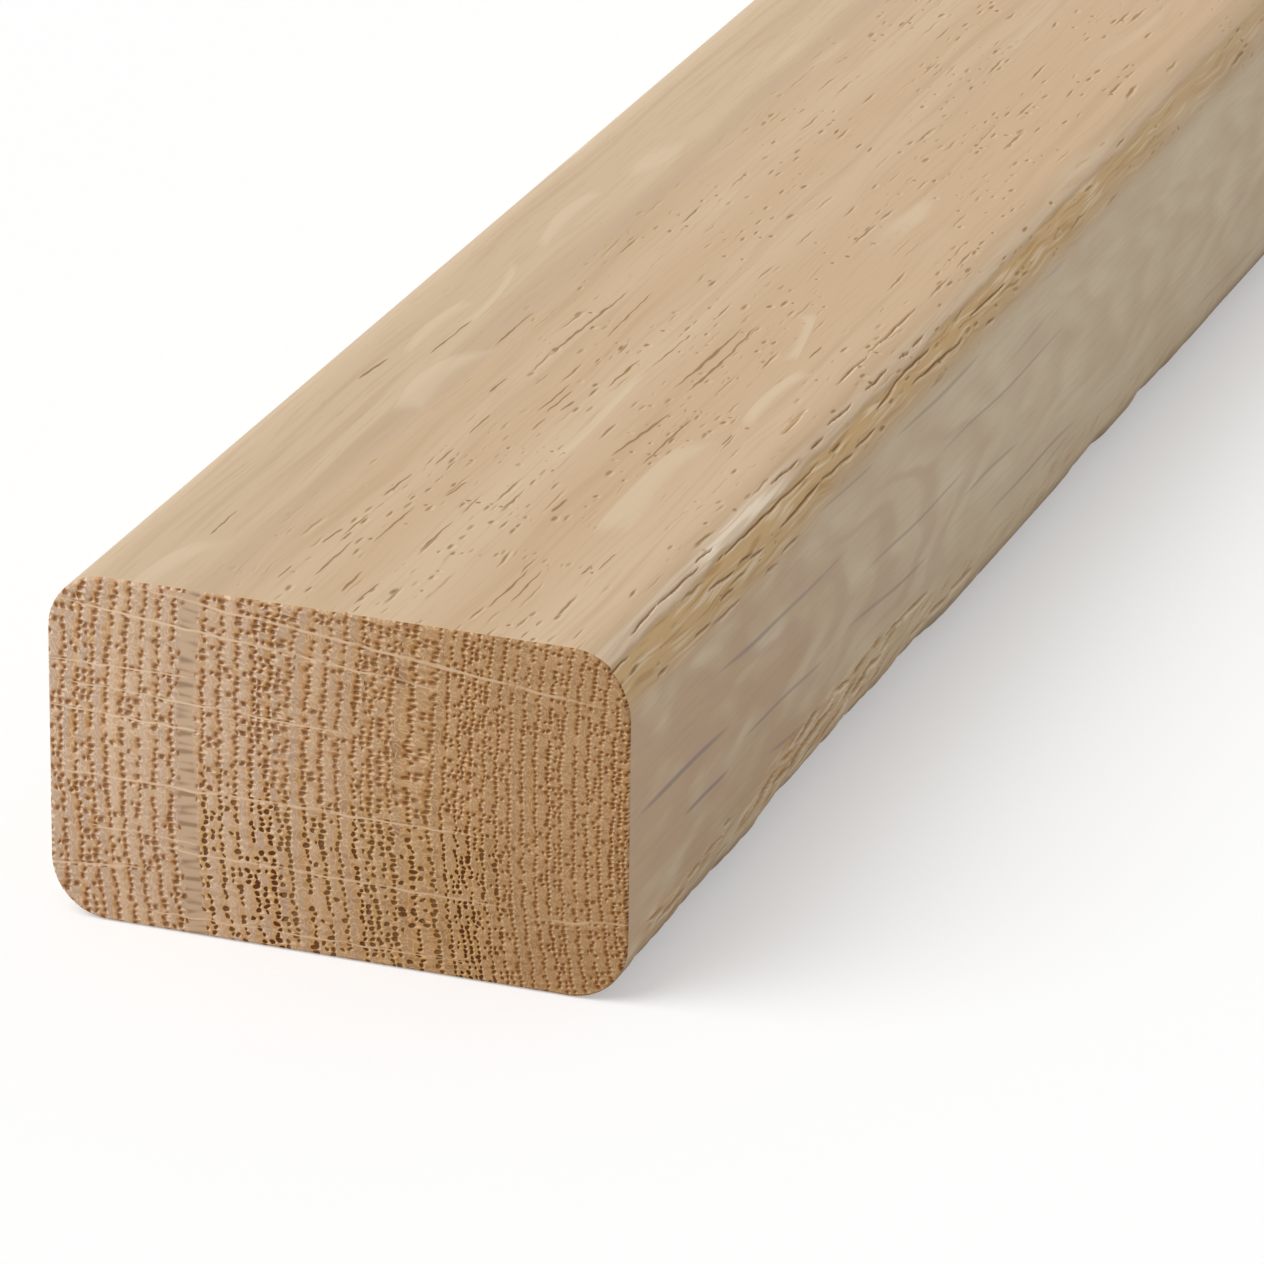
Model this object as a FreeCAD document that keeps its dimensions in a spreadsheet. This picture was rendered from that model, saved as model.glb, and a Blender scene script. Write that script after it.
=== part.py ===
# Stair handrail: one straight length of rectangular rail, moulded from a single piece of oak.
# All four long edges are rounded over by one cutter and both ends are sawn square.
# The rail runs along Y, lies on its underside at Z = 0, and the origin is midway along that underside.

import FreeCAD
import Part
import Sketcher
import math
import os

OUTPUT_FOLDER = "parts"
SHEET_NAME = "Sizes"

# Driving dimensions in millimetres: a 2 1/2 by 1 1/2 inch section, 1/4 inch edges, 6 feet long.
DRIVING_SIZES = {
    "rail_width": 63.5,
    "rail_height": 38.1,
    "rail_length": 1828.8,
    "edge_radius": 6.35,
}

# How a sketch refers to a curve's two ends and to its own level and upright axes.
START = 1
END = 2
LEVEL_AXIS = -1
UPRIGHT_AXIS = -2


def make_sheet(doc):
    sheet = doc.addObject("Spreadsheet::Sheet", SHEET_NAME)
    for row, (alias, value) in enumerate(DRIVING_SIZES.items(), start=1):
        sheet.set(f"A{row}", alias)
        sheet.set(f"B{row}", str(value))
        sheet.setAlias(f"B{row}", alias)
    doc.recompute()
    return sheet


def origin_plane(body, role):
    return next(f for f in body.Origin.OriginFeatures if f.Role == role)


def section_outline(sheet):
    """The rounded section as four sides and four quarter-round edges, anticlockwise from the underside."""
    half_width = sheet.rail_width / 2
    height = sheet.rail_height
    radius = sheet.edge_radius
    inset = half_width - radius
    upper = height - radius
    normal = FreeCAD.Vector(0, 0, 1)
    quarter = math.pi / 2

    def side(start, end):
        return Part.LineSegment(FreeCAD.Vector(*start, 0), FreeCAD.Vector(*end, 0))

    def rounded_edge(centre, first_quarter):
        circle = Part.Circle(FreeCAD.Vector(*centre, 0), normal, radius)
        return Part.ArcOfCircle(circle, first_quarter * quarter, (first_quarter + 1) * quarter)

    return [
        side((-inset, 0), (inset, 0)),
        rounded_edge((inset, radius), 3),
        side((half_width, radius), (half_width, upper)),
        rounded_edge((inset, upper), 0),
        side((inset, height), (-inset, height)),
        rounded_edge((-inset, upper), 1),
        side((-half_width, upper), (-half_width, radius)),
        rounded_edge((-inset, radius), 2),
    ]


def draw_section(body, sheet):
    sketch = body.newObject("Sketcher::SketchObject", "rail_section")
    sketch.AttachmentSupport = [(origin_plane(body, "XZ_Plane"), "")]
    sketch.MapMode = "FlatFace"

    outline = section_outline(sheet)
    sketch.addGeometry(outline, False)
    underside, lower_right, right, upper_right, top, upper_left, left, lower_left = range(len(outline))

    for piece in range(len(outline)):
        following = (piece + 1) % len(outline)
        sketch.addConstraint(Sketcher.Constraint("Tangent", piece, END, following, START))
    sketch.addConstraint(Sketcher.Constraint("Horizontal", top))
    for upright in (right, left):
        sketch.addConstraint(Sketcher.Constraint("Vertical", upright))
    for other_edge in (upper_right, upper_left, lower_left):
        sketch.addConstraint(Sketcher.Constraint("Equal", lower_right, other_edge))
    # Mirror symmetry about the upright axis also keeps the underside level.
    sketch.addConstraint(Sketcher.Constraint("PointOnObject", underside, START, LEVEL_AXIS))
    sketch.addConstraint(Sketcher.Constraint("Symmetric", underside, START, underside, END, UPRIGHT_AXIS))

    driving = {
        "rail_width": Sketcher.Constraint("DistanceX", left, START, right, START, sheet.rail_width),
        "rail_height": Sketcher.Constraint("DistanceY", underside, START, top, START, sheet.rail_height),
        "edge_radius": Sketcher.Constraint("Radius", lower_right, sheet.edge_radius),
    }
    for size, constraint in driving.items():
        index = sketch.addConstraint(constraint)
        sketch.renameConstraint(index, size)
        sketch.setExpression(f"Constraints.{size}", f"{SHEET_NAME}.{size}")
    return sketch


def make_handrail(doc, sheet):
    body = doc.addObject("PartDesign::Body", "handrail")
    body.Label = "handrail"
    section = draw_section(body, sheet)
    moulding = body.newObject("PartDesign::Pad", "moulding")
    moulding.Profile = section
    moulding.SideType = "Symmetric"
    moulding.setExpression("Length", f"{SHEET_NAME}.rail_length")
    section.Visibility = False
    return body


def check_document(doc, bodies):
    doc.recompute()
    for item in doc.Objects:
        if "Invalid" in item.State or "Error" in item.State:
            raise RuntimeError(f"{item.Label} failed: {item.State}")
    for body in bodies:
        if body.Shape.isNull() or not body.Shape.isValid():
            raise RuntimeError(f"{body.Label} has no valid shape")


def export_bodies(bodies):
    os.makedirs(OUTPUT_FOLDER, exist_ok=True)
    for body in bodies:
        body.Shape.exportStep(os.path.join(OUTPUT_FOLDER, f"{body.Label}.step"))
        box = body.Shape.BoundBox
        print(f"{body.Label}: {box.XLength:.2f} x {box.YLength:.2f} x {box.ZLength:.2f} mm,"
              f" {body.Shape.Volume / 1000:.1f} cm3")


document = FreeCAD.newDocument("stair_handrail")
sizes = make_sheet(document)
rail_bodies = [make_handrail(document, sizes)]
check_document(document, rail_bodies)
export_bodies(rail_bodies)
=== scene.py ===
import math

import bmesh
import bpy
from mathutils import Matrix, Vector, noise


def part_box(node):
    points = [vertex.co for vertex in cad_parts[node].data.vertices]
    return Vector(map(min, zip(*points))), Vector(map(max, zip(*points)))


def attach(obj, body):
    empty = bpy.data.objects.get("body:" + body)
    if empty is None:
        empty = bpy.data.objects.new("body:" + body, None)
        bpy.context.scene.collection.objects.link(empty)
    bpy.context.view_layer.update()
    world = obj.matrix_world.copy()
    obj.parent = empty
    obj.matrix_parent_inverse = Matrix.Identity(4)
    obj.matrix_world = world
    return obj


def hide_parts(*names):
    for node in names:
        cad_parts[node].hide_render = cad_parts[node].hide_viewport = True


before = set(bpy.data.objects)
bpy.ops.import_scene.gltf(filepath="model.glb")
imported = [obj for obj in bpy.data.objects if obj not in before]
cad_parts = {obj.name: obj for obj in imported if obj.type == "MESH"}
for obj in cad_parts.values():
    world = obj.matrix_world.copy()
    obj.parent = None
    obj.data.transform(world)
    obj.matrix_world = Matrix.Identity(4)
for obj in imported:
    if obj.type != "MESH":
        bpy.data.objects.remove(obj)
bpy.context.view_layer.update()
railLow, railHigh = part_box("handrail")
millimetre = 0.001
railWidth = (railHigh.x - railLow.x) / millimetre
railLength = (railHigh.y - railLow.y) / millimetre
railHeight = (railHigh.z - railLow.z) / millimetre
print("frame loaded, rail", round(railWidth, 2), "x", round(railLength, 1), "x", round(railHeight, 2), "mm")


# the photo's view: where the camera stands from the foot of the near end, and how it is turned
cameraSetup = {
    "lens": 229.8,
    "sensor": 36.0,
    "standsAt": (0.2848, -0.6969, 0.3439),
    "turn": 19.95,
    "dip": 22.23,
    "roll": 0.72,
}


def makeCamera(setup):
    data = bpy.data.cameras.new("photoCamera")
    data.lens = setup["lens"]
    data.sensor_width = setup["sensor"]
    camera = bpy.data.objects.new("photoCamera", data)
    bpy.context.scene.collection.objects.link(camera)
    nearFoot = Vector((0.0, railLow.y, railLow.z))
    turn = Matrix.Rotation(math.radians(setup["turn"]), 4, "Z")
    tilt = Matrix.Rotation(math.radians(90.0 - setup["dip"]), 4, "X")
    roll = Matrix.Rotation(math.radians(setup["roll"]), 4, "Z")
    camera.matrix_world = Matrix.Translation(nearFoot + Vector(setup["standsAt"])) @ turn @ tilt @ roll
    bpy.context.scene.camera = camera


makeCamera(cameraSetup)
print("camera set")


# small helpers for the node trees
def plug(tree, socket, value):
    if isinstance(value, bpy.types.NodeSocket):
        tree.links.new(value, socket)
    else:
        socket.default_value = value


def addNode(tree, kind, values, **settings):
    made = tree.nodes.new(kind)
    for name, value in settings.items():
        setattr(made, name, value)
    for socket, value in values.items():
        plug(tree, made.inputs[socket], value)
    return made


def calc(tree, operation, first, second=0.0, third=0.0):
    return addNode(tree, "ShaderNodeMath", {0: first, 1: second, 2: third}, operation=operation).outputs[0]


def calcVector(tree, operation, first, second=(0.0, 0.0, 0.0), third=(0.0, 0.0, 0.0)):
    made = addNode(tree, "ShaderNodeVectorMath", {0: first, 1: second, 2: third}, operation=operation)
    return made.outputs["Value" if operation == "LENGTH" else "Vector"]


def times(tree, *values):
    product = values[0]
    for value in values[1:]:
        product = calc(tree, "MULTIPLY", product, value)
    return product


def less(tree, value):   # what is left of 1
    return calc(tree, "SUBTRACT", 1.0, value)


def apart(tree, place):
    made = addNode(tree, "ShaderNodeSeparateXYZ", {0: place})
    return made.outputs[0], made.outputs[1], made.outputs[2]


def together(tree, x, y, z=0.0):
    return addNode(tree, "ShaderNodeCombineXYZ", {0: x, 1: y, 2: z}).outputs[0]


def fade(tree, value, start, end, low=0.0, high=1.0):   # smooth step, either way round
    sockets = {"Value": value, "From Min": start, "From Max": end, "To Min": low, "To Max": high}
    made = addNode(tree, "ShaderNodeMapRange", sockets, interpolation_type="SMOOTHSTEP")
    return made.outputs["Result"]


def between(tree, share, limits):   # from one limit at share 0 to the other at share 1
    return fade(tree, share, 0.0, 1.0, *limits)


def within(tree, value, limits, edge):   # 1 between two limits, soft so far inside and outside them
    return times(tree, fade(tree, value, limits[0] - edge, limits[0] + edge),
                 fade(tree, value, limits[1] + edge, limits[1] - edge))


def tint(tree, amount, under, over, mode="MIX"):
    made = addNode(tree, "ShaderNodeMix", {0: amount}, data_type="RGBA", blend_type=mode)
    plug(tree, made.inputs[6], under)
    plug(tree, made.inputs[7], over)
    return made.outputs[2]


def cloud(tree, place, size, detail=1.0):   # noise with marks about as long each way as size
    scaled = calcVector(tree, "DIVIDE", place, (size[0], size[1], 1.0))
    sockets = {"Vector": scaled, "Scale": 1.0, "Detail": detail}
    return addNode(tree, "ShaderNodeTexNoise", sockets, noise_dimensions="2D").outputs["Fac"]


def wander(tree, place, size, by, detail=1.0):   # the same noise, either side of 0
    return calc(tree, "MULTIPLY_ADD", cloud(tree, place, size, detail), by, -by / 2.0)


def scatter(tree, place, cell, spread):   # one point to a cell: the way from it, three draws, its place
    scaled = calcVector(tree, "DIVIDE", place, (cell[0], cell[1], 1.0))
    sockets = {"Vector": scaled, "Scale": 1.0, "Randomness": spread}
    points = addNode(tree, "ShaderNodeTexVoronoi", sockets, voronoi_dimensions="2D", feature="F1")
    way = calcVector(tree, "SUBTRACT", scaled, points.outputs["Position"])
    away = calcVector(tree, "MULTIPLY", way, (cell[0], cell[1], 0.0))
    return away, apart(tree, points.outputs["Color"]), points.outputs["Position"]


def draws(tree, number):   # three random draws for each whole number
    made = addNode(tree, "ShaderNodeTexWhiteNoise", {"W": number}, noise_dimensions="1D")
    return apart(tree, made.outputs["Color"])


# listed marks run from one point to another and have half a width:
# what along, around and 1 count for in a mark's own lengthwise and crosswise, which are 1 at its edge
def weighMark(mark):
    start, end, half = Vector(mark[0:2]), Vector(mark[2:4]), mark[4]
    middle = (start + end) / 2.0
    reach = (end - start).length / 2.0
    run = (end - start).normalized()
    cross = Vector((-run.y, run.x))
    lengthwise = (run.x / reach, run.y / reach, -middle.dot(run) / reach)
    return lengthwise, (cross.x / half, cross.y / half, -middle.dot(cross) / half)


def layThree(tree, place, marks):   # three marks at once, as the three parts of a vector
    along, around = apart(tree, place)[:2]
    laid = []
    for weights in zip(*[weighMark(mark) for mark in marks]):
        alongBy, aroundBy, shift = zip(*weights)
        alongPart = calcVector(tree, "MULTIPLY_ADD", along, alongBy, shift)
        laid.append(calcVector(tree, "MULTIPLY_ADD", around, aroundBy, alongPart))
    return laid


def nearestOf(tree, place, marks, measure):   # the least of a measure, which is 1 at a mark's edge
    nearest = None
    for first in range(0, len(marks), 3):
        three = (marks[first:first + 3] + marks[first:first + 1] * 2)[:3]
        away = measure(tree, *layThree(tree, place, three))
        nearest = away if nearest is None else calcVector(tree, "MINIMUM", nearest, away)
    one, two, three = apart(tree, nearest)
    return calc(tree, "MINIMUM", calc(tree, "MINIMUM", one, two), three)


def lineMeasure(tree, lengthwise, crosswise):
    square = calcVector(tree, "MULTIPLY", lengthwise, lengthwise)
    crossSquare = calcVector(tree, "MULTIPLY", crosswise, crosswise)
    return calcVector(tree, "MULTIPLY_ADD", square, square, crossSquare)


# flakes are crisp along one bowed edge, and soft along the other and at the ends
flakeSetup = {
    "bow": (0.9, 0.9, 0.9),
    "softSlope": (-0.2, -0.2, -0.2),
    "softBase": (0.86, 0.86, 0.86),
    "endSlope": (0.3, 0.3, 0.3),
    "endBase": (0.7, 0.7, 0.7),
    "edge": 0.8,
}


def flakeMeasure(tree, lengthwise, crosswise):
    square = calcVector(tree, "MULTIPLY", lengthwise, lengthwise)
    bowed = calcVector(tree, "MULTIPLY_ADD", square, flakeSetup["bow"], crosswise)
    soft = calcVector(tree, "MULTIPLY_ADD", bowed, flakeSetup["softSlope"], flakeSetup["softBase"])
    ends = calcVector(tree, "MULTIPLY_ADD", square, flakeSetup["endSlope"], flakeSetup["endBase"])
    return calcVector(tree, "MAXIMUM", calcVector(tree, "MAXIMUM", bowed, soft), ends)


def strokes(tree, place, marks, edge):   # thin lines, soft from edge outwards
    return fade(tree, nearestOf(tree, place, marks, lineMeasure), 1.0, edge)


def flakes(tree, place, marks):
    return fade(tree, nearestOf(tree, place, marks, flakeMeasure), 1.0, flakeSetup["edge"])


dashSetup = {
    "spread": 0.95,
    "lengths": (0.35, 1.5),
    "widths": (0.6, 1.2),
    "depths": (0.45, 1.0),
    "edge": 0.3,
    # how far to the right of a mark its painted highlight sits
    "highlightShift": 1.1,
}


def dashes(tree, place, cell, half, keep):   # short marks along the grain, and a painted highlight on their right, where light would catch a lip
    away, draw = scatter(tree, place, cell, dashSetup["spread"])[:2]
    along, across = apart(tree, away)[:2]
    length = times(tree, between(tree, draw[0], dashSetup["lengths"]), half[0])
    width = times(tree, between(tree, draw[2], dashSetup["widths"]), half[1])
    kept = calc(tree, "LESS_THAN", draw[1], keep)
    depth = times(tree, between(tree, draw[2], dashSetup["depths"]), kept)
    lengthwise = calc(tree, "DIVIDE", along, length)
    crosswise = calc(tree, "DIVIDE", across, width)
    # painted highlight: the same mark, moved to its right
    beside = calc(tree, "SUBTRACT", crosswise, dashSetup["highlightShift"])
    made = []
    for fromLine in (crosswise, beside):
        ratio = calcVector(tree, "LENGTH", together(tree, lengthwise, fromLine))
        made.append(times(tree, fade(tree, ratio, 1.0, dashSetup["edge"]), depth))
    return made


def attribute(tree, name):
    return addNode(tree, "ShaderNodeAttribute", {}, attribute_name=name).outputs["Fac"]


def srgb(red, green, blue):   # colours are written as a picture program shows them
    def linear(value):
        share = value / 255.0
        return share / 12.92 if share <= 0.04045 else ((share + 0.055) / 1.055) ** 2.4
    return (linear(red), linear(green), linear(blue), 1.0)


def newMaterial(name):
    material = bpy.data.materials.new(name)
    material.use_nodes = True
    tree = material.node_tree
    return material, tree, tree.nodes["Principled BSDF"]


def inMillimetres(tree, place):
    return calcVector(tree, "DIVIDE", place, (millimetre, millimetre, millimetre))


# the rail's section unrolled: around is 0 on the top's middle line, then runs down the right side
section = {"edgeRadius": 6.35}
section["halfFlat"] = railWidth / 2 - section["edgeRadius"]
section["upper"] = railHeight - section["edgeRadius"]
section["arc"] = section["edgeRadius"] * math.pi / 2
section["sideStart"] = section["halfFlat"] + section["arc"]
section["lowerStart"] = section["sideStart"] + section["upper"] - section["edgeRadius"]
section["half"] = section["lowerStart"] + section["arc"] + section["halfFlat"]


def sideAround(height):
    return section["sideStart"] + section["upper"] - height


def unroll(x, z):   # x is taken from the middle outwards: distance round, and the way out across and up
    halfFlat, upper, radius = section["halfFlat"], section["upper"], section["edgeRadius"]
    if z >= upper:
        if x <= halfFlat:
            return x, 0.0, 1.0
        angle = math.atan2(x - halfFlat, z - upper)
        return halfFlat + radius * angle, math.sin(angle), math.cos(angle)
    if z > radius:
        return sideAround(z), 1.0, 0.0
    if x > halfFlat:
        angle = math.atan2(radius - z, x - halfFlat)
        return section["lowerStart"] + radius * angle, math.cos(angle), -math.sin(angle)
    return section["half"] - x, 0.0, -1.0


# growth rings: round a pith that lies off to the right, told in mm in the rail's own section
ringSetup = {
    "pith": (134.0, 20.0, 0.0),
    "inner": 98.0,
    "outer": 172.0,
    "rings": 44.65,
    # share of the way out, and share of the rings that lie within it
    "widths": (
        (0.345, 0.408), (0.403, 0.452), (0.454, 0.497),
        (0.555, 0.587), (0.595, 0.62), (0.676, 0.693),
    ),
    "waverSize": (9.0, 14.0),
    "waver": 0.5,
    "trembleSize": (1.2, 0.9),
    "tremble": 0.42,
}


def ringPlace(tree, face, setup):   # how many rings out, how far round in mm, and how far from the pith
    spoke = calcVector(tree, "SUBTRACT", face, setup["pith"])
    across, up = apart(tree, spoke)[:2]
    radius = calcVector(tree, "LENGTH", spoke)
    sockets = {"Value": radius, "From Min": setup["inner"], "From Max": setup["outer"]}
    share = addNode(tree, "ShaderNodeMapRange", sockets).outputs["Result"]
    growth = addNode(tree, "ShaderNodeFloatCurve", {"Value": share})
    for at, count in setup["widths"]:
        growth.mapping.curves[0].points.new(at, count).handle_type = "VECTOR"
    growth.mapping.update()
    sway = calc(tree, "ADD", wander(tree, face, setup["waverSize"], setup["waver"]),
                wander(tree, face, setup["trembleSize"], setup["tremble"]))
    ring = calc(tree, "MULTIPLY_ADD", growth.outputs[0], setup["rings"], sway)
    angle = calc(tree, "ARCTAN2", up, times(tree, across, -1.0))
    return ring, times(tree, angle, setup["pith"][0]), radius


# sawn end: rows of open pores, pale rays across them and one close-grained ring
endSetup = {
    "ringGap": 1.6,
    "lanes": 2.0,
    "laneStart": 0.25,
    "laneSpread": 0.42,
    "poreGap": 0.52,
    "poreTall": 0.85,
    "poreRadius": (0.22, 0.34),
    "poreEdge": (0.4, 0.72),
    "poreAmount": (0.86, 1.0),
    "rowAmount": (0.8, 0.97),
    "poreShare": 0.94,
    "spareLane": (0.0, 0.64),
    # a painted highlight, where light would catch a pore's lip, lies down and to the right of it
    "highlightShift": (-0.2, -0.2, 0.0),
    "highlightReach": (1.15, 0.6),
    "highlightAmount": 0.95,
    "crowded": ((127.6, 131.6), (139.2, 141.8)),
    "crowdEdge": 0.5,
    "crowdShare": 0.75,
    "haloReach": (1.8, 0.9),
    "haloAmount": (0.75, 0.85),
    "crispSize": (1.0, 0.91),
    "rowMiddle": 0.5,
    "rowHalf": (0.42, 0.18),
    "rowStrength": (0.55, 0.9),
    "knitSize": (0.5, 0.62),
    "knitWidth": (0.085, 0.0),
    "knitAmount": 0.52,
    "seam": (0.19, 0.31),
    "seamEdge": 0.06,
    "seamAmount": (0.22, 0.45),
    "patchSize": (3.4, 2.2),
    "toneByRing": 0.6,
    "toneByPatch": 0.5,
    "tones": (-0.1, 0.65),
    # the crispest pores: below a height, and so far either side of a middle line
    "crispUp": (22.0, 12.0),
    "crispMiddle": 1.0,
    "crispAcross": (21.0, 14.0),
    "turnsTan": (-12.0, 14.0),
    "greyLeft": srgb(178, 152, 132),
    "creamLeft": srgb(206, 176, 146),
    "brownRight": srgb(169, 134, 99),
    "tanRight": srgb(185, 149, 111),
    "earlyLeft": srgb(191, 147, 98),
    "earlyRight": srgb(184, 141, 91),
    "paleLeft": srgb(238, 210, 183),
    "paleRight": srgb(244, 210, 168),
    "halo": srgb(170, 116, 56),
    "crispHalo": srgb(208, 160, 90),
    "pore": srgb(106, 56, 10),
    "crispPore": srgb(84, 40, 2),
    "closeRing": (31.85, 32.85),
    "closeEdge": 0.12,
    "closeDark": srgb(160, 132, 105),
    "closePale": srgb(190, 161, 132),
    "fineSize": (5.0, 0.6),
    "fineFrom": (0.22, 0.56),
    "fineAmount": 0.2,
    "ray": srgb(228, 198, 166),
    "rayFrom": (-0.2, 0.1),
    "rayAmount": (0.5, 0.9),
    # darker to the right, own tone and painted shade of the light falling off, then darker towards the
    # bottom
    "toneAndShadeAcross": (-34.0, 36.0, 0.99, 0.735),
    "dims": (0.0, 24.0, 0.9, 1.0),
    "warms": (1.0, 1.25, 1.6),
    "roughness": 0.8,
    "specular": 0.2,
    # broad rays: from across and up, to across and up, half thickness
    "rays": (
        (-24.6, 37.9, 33.0, 31.7, 0.19),
        (-32.5, 35.4, 14.0, 31.2, 0.17),
        (-32.5, 28.5, -14.5, 28.6, 0.12),
        (-32.0, 26.3, 3.0, 25.0, 0.13),
        (-32.5, 23.4, -13.5, 22.8, 0.16),
        (-33.0, 16.2, 18.0, 16.1, 0.17),
        (-28.0, 10.6, -14.5, 10.1, 0.14),
        (-23.0, 9.2, 21.0, 8.7, 0.16),
        (-33.0, 5.5, -21.0, 6.6, 0.17),
        (20.5, 7.7, 33.0, 9.1, 0.18),
        (-24.0, 1.9, 18.0, 1.85, 0.11),
    ),
    "raySway": 0.6,
    "rayEdge": 0.3,
}


def makeEndGrain(setup):
    material, tree, shader = newMaterial("oakEndGrain")
    place = inMillimetres(tree, addNode(tree, "ShaderNodeTexCoord", {}).outputs["Object"])
    across, up = apart(tree, place)[::2]
    face = together(tree, across, up)
    ring, wayRound, radius = ringPlace(tree, face, ringSetup)
    patch = wander(tree, face, setup["patchSize"], 1.0)
    toRight = fade(tree, across, *setup["turnsTan"])
    openGrain = less(tree, within(tree, ring, setup["closeRing"], setup["closeEdge"]))

    # pores stand in lanes, two to a ring: the first is full, the late wood's part filled or crowded
    rowDraw = draws(tree, calc(tree, "FLOOR", ring))
    lateDraw = draws(tree, calc(tree, "ROUND", ring))
    shifted = calc(tree, "SUBTRACT", ring, setup["laneStart"])
    lattice = together(tree, times(tree, shifted, setup["ringGap"]),
                       times(tree, wayRound, setup["poreTall"]))
    cell = (setup["ringGap"] / setup["lanes"], setup["poreGap"])
    away, draw, spot = scatter(tree, lattice, cell, setup["laneSpread"])
    lane = calc(tree, "FRACT", calc(tree, "DIVIDE", apart(tree, spot)[0], setup["lanes"]))
    mainLane = calc(tree, "LESS_THAN", lane, 1.0 / setup["lanes"])
    crowd = 0.0
    for limits in setup["crowded"]:
        crowded = within(tree, radius, limits, setup["crowdEdge"])
        crowd = calc(tree, "MULTIPLY_ADD", crowded, setup["crowdShare"], crowd)
    spareShare = calc(tree, "MAXIMUM", between(tree, lateDraw[1], setup["spareLane"]), crowd)
    spareLane = calc(tree, "LESS_THAN", draw[1], spareShare)
    here = times(tree, calc(tree, "MAXIMUM", mainLane, spareLane), openGrain,
                 calc(tree, "LESS_THAN", draw[2], setup["poreShare"]),
                 between(tree, rowDraw[1], setup["rowAmount"]))
    middle = calc(tree, "ABSOLUTE", calc(tree, "SUBTRACT", across, setup["crispMiddle"]))
    crisp = times(tree, fade(tree, up, *setup["crispUp"]), fade(tree, middle, *setup["crispAcross"]))
    size = times(tree, between(tree, draw[0], setup["poreRadius"]),
                 between(tree, crisp, setup["crispSize"]))
    ratio = calc(tree, "DIVIDE", calcVector(tree, "LENGTH", away), size)
    poreEdge = between(tree, crisp, setup["poreEdge"])
    pore = times(tree, fade(tree, ratio, 1.0, poreEdge), here,
                 between(tree, crisp, setup["poreAmount"]))
    halo = times(tree, fade(tree, ratio, *setup["haloReach"]), here,
                 between(tree, crisp, setup["haloAmount"]))
    # painted highlight: pale down and to the right of each pore
    fromHighlight = calcVector(tree, "LENGTH", calcVector(tree, "SUBTRACT", away, setup["highlightShift"]))
    highlightRatio = calc(tree, "DIVIDE", fromHighlight, size)
    lip = times(tree, fade(tree, highlightRatio, *setup["highlightReach"]), here, setup["highlightAmount"])

    # late wood differs from ring to ring, early wood lies round each row
    # pale lines run down the right of a row, and knit between the pores
    fraction = calc(tree, "FRACT", ring)
    fromRow = calc(tree, "ABSOLUTE", calc(tree, "SUBTRACT", fraction, setup["rowMiddle"]))
    seam = times(tree, within(tree, fraction, setup["seam"], setup["seamEdge"]), openGrain,
                 between(tree, toRight, setup["seamAmount"]))
    early = times(tree, fade(tree, fromRow, *setup["rowHalf"]),
                  between(tree, rowDraw[2], setup["rowStrength"]))
    knot = calc(tree, "ABSOLUTE", wander(tree, lattice, setup["knitSize"], 1.0, 0.0))
    knit = times(tree, fade(tree, knot, *setup["knitWidth"]), openGrain, setup["knitAmount"])
    rayward = together(tree, radius, wayRound)
    fine = fade(tree, cloud(tree, rayward, setup["fineSize"], 0.0), *setup["fineFrom"])
    patchTone = times(tree, patch, setup["toneByPatch"])
    tone = calc(tree, "MULTIPLY_ADD", lateDraw[0], setup["toneByRing"], patchTone)

    # broad rays are listed
    swayed = calc(tree, "MULTIPLY_ADD", patch, setup["raySway"], up)
    ray = strokes(tree, together(tree, across, swayed), setup["rays"], setup["rayEdge"])
    ray = times(tree, ray, fade(tree, patch, *setup["rayFrom"], *setup["rayAmount"]))

    # browner and darker to the right: the end grain's own tone, with painted shade of the light falling off
    # across the face
    dark = tint(tree, toRight, setup["greyLeft"], setup["brownRight"])
    light = tint(tree, toRight, setup["creamLeft"], setup["tanRight"])
    pale = tint(tree, toRight, setup["paleLeft"], setup["paleRight"])
    colour = tint(tree, fade(tree, tone, *setup["tones"]), dark, light)
    colour = tint(tree, early, colour, tint(tree, toRight, setup["earlyLeft"], setup["earlyRight"]))
    colour = tint(tree, openGrain, tint(tree, fine, setup["closeDark"], setup["closePale"]), colour)
    colour = tint(tree, times(tree, fine, setup["fineAmount"]), colour, pale)
    colour = tint(tree, calc(tree, "MAXIMUM", knit, seam), colour, pale)
    colour = tint(tree, halo, colour, tint(tree, crisp, setup["halo"], setup["crispHalo"]))
    # the painted highlight beside each pore
    colour = tint(tree, lip, colour, pale)
    colour = tint(tree, pore, colour, tint(tree, crisp, setup["pore"], setup["crispPore"]))
    colour = tint(tree, ray, colour, setup["ray"])
    # darker and warmer towards the right, the end grain's own tone with painted shade where the light falls
    # off across the face, and darker towards the bottom
    shade = times(tree, fade(tree, across, *setup["toneAndShadeAcross"]), fade(tree, up, *setup["dims"]))
    warmed = together(tree, *[calc(tree, "POWER", shade, power) for power in setup["warms"]])
    colour = tint(tree, 1.0, colour, warmed, "MULTIPLY")
    plug(tree, shader.inputs["Base Color"], colour)
    shader.inputs["Roughness"].default_value = setup["roughness"]
    shader.inputs["Specular IOR Level"].default_value = setup["specular"]
    return material


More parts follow.
